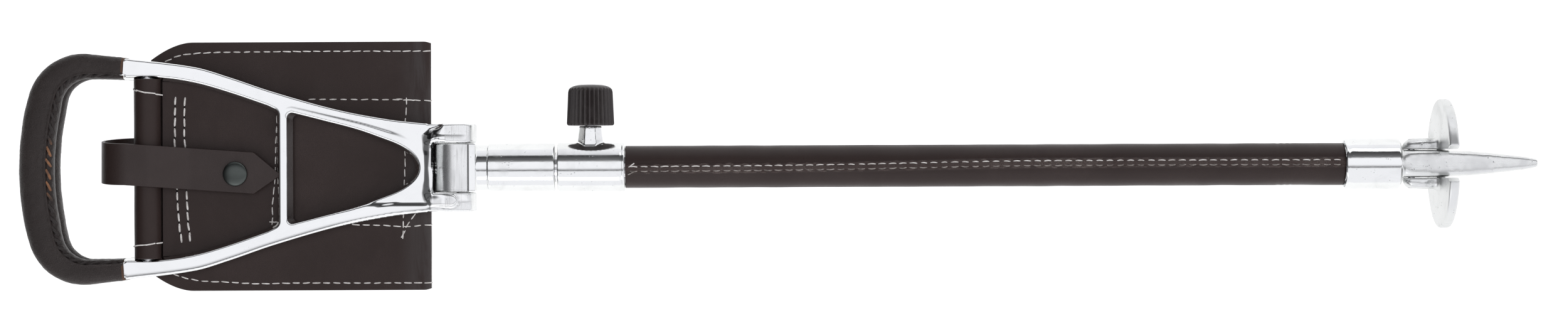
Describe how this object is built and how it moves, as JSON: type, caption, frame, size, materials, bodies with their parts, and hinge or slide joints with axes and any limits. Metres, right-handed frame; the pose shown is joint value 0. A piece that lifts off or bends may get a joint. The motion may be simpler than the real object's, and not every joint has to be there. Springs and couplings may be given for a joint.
{
  "type": "seat stick",
  "caption": "Walking stick with a ground spike and folding plate whose D handles open into a leather sling seat on an adjustable shaft.",
  "frame": {"origin": "bottom centre of the closed stick's bounding box as it lies: the rim of the ground plate touches z = 0", "axes": "+X along the shaft towards the spike's point, +Y the side of the clamp knob, +Z out of the front handle"},
  "size_m": [0.8598, 0.1426, 0.0718],
  "materials": {
    "polished_aluminium": "polished casting",
    "bright_tube": "bright drawn tube",
    "spike_steel": "polished forging",
    "plain_steel": "bright steel",
    "gunmetal": "dark gunmetal",
    "seat_leather": "smooth dark brown leather",
    "grip_leather": "grained black-brown leather",
    "knob_plastic": "black-brown plastic",
    "guide_plastic": "pale nylon"
  },
  "bodies": {
    "shaft": {"outer_tube": "bright_tube", "tube_leather": "seat_leather", "clamp_collar": "polished_aluminium", "collar_bush": "guide_plastic", "ferrule": "polished_aluminium", "ferrule_rivet": "polished_aluminium", "spike": "spike_steel", "plate_pivot_pin": "plain_steel"},
    "head": {"inner_tube": "bright_tube", "guide_ring": "guide_plastic", "inner_tube_plug": "guide_plastic", "head_block": "polished_aluminium", "head_rivet": "polished_aluminium", "front_hinge_pin": "plain_steel", "rear_hinge_pin": "plain_steel"},
    "front_handle": {"front_frame": "polished_aluminium", "front_grip": "grip_leather", "front_seat_rod": "plain_steel"},
    "rear_handle": {"rear_frame": "polished_aluminium", "rear_grip": "grip_leather", "rear_seat_rod": "plain_steel"},
    "front_sling": {"front_seat_panel": "seat_leather", "front_end_patch": "seat_leather", "snap_stud": "plain_steel", "stud_rivet": "plain_steel", "seat_fold": "seat_leather"},
    "rear_sling": {"rear_seat_panel": "seat_leather", "rear_end_patch": "seat_leather", "strap_back": "seat_leather", "strap_rivet_1": "plain_steel", "strap_rivet_2": "plain_steel"},
    "strap": {"strap_flap": "seat_leather", "snap_cap": "gunmetal", "snap_socket": "plain_steel"},
    "clamp_knob": {"clamp_pad": "guide_plastic", "clamp_screw": "plain_steel", "clamp_knob": "knob_plastic"},
    "ground_plate": {"ground_plate": "polished_aluminium"}
  },
  "joints": [
    {"name": "height_slide", "type": "slide", "parent": "shaft", "child": "head", "axis": [-1, 0, 0], "range_m": [0, 0.12]},
    {"name": "front_handle_hinge", "type": "hinge", "parent": "head", "child": "front_handle", "pos_m": [-0.18045, 0, 0.0445], "axis": [0, 1, 0], "range_deg": [0, 50], "deforming": ["strap_flap", "snap_cap", "snap_socket", "seat_fold"]},
    {"name": "rear_handle_hinge", "type": "hinge", "parent": "head", "child": "rear_handle", "pos_m": [-0.18045, 0, 0.0285], "axis": [0, 1, 0], "range_deg": [-50, 0]},
    {"name": "front_sling_hinge", "type": "hinge", "parent": "front_handle", "child": "front_sling", "pos_m": [-0.35755, 0, 0.0445], "axis": [0, 1, 0], "range_deg": [0, 9.8]},
    {"name": "rear_sling_hinge", "type": "hinge", "parent": "rear_handle", "child": "rear_sling", "pos_m": [-0.35755, 0, 0.0285], "axis": [0, 1, 0], "range_deg": [-9.8, 0]},
    {"name": "strap_hinge", "type": "hinge", "parent": "rear_sling", "child": "strap", "pos_m": [-0.3839, 0, 0.0365], "axis": [0, -1, 0], "range_deg": [0, 150]},
    {"name": "knob_turn", "type": "hinge", "parent": "shaft", "child": "clamp_knob", "pos_m": [-0.10745, 0, 0.0365], "axis": [0, 1, 0], "range_deg": [0, 360]},
    {"name": "plate_fold", "type": "hinge", "parent": "shaft", "child": "ground_plate", "pos_m": [0.35825, 0, 0.0365], "axis": [0, 1, 0], "range_deg": [0, 90]}
  ],
  "couplings": [
    {"joint": "rear_handle_hinge", "follows": "front_handle_hinge", "ratio": -1},
    {"joint": "front_sling_hinge", "follows": "front_handle_hinge", "ratio": 0.195},
    {"joint": "rear_sling_hinge", "follows": "front_handle_hinge", "ratio": -0.195}
  ]
}
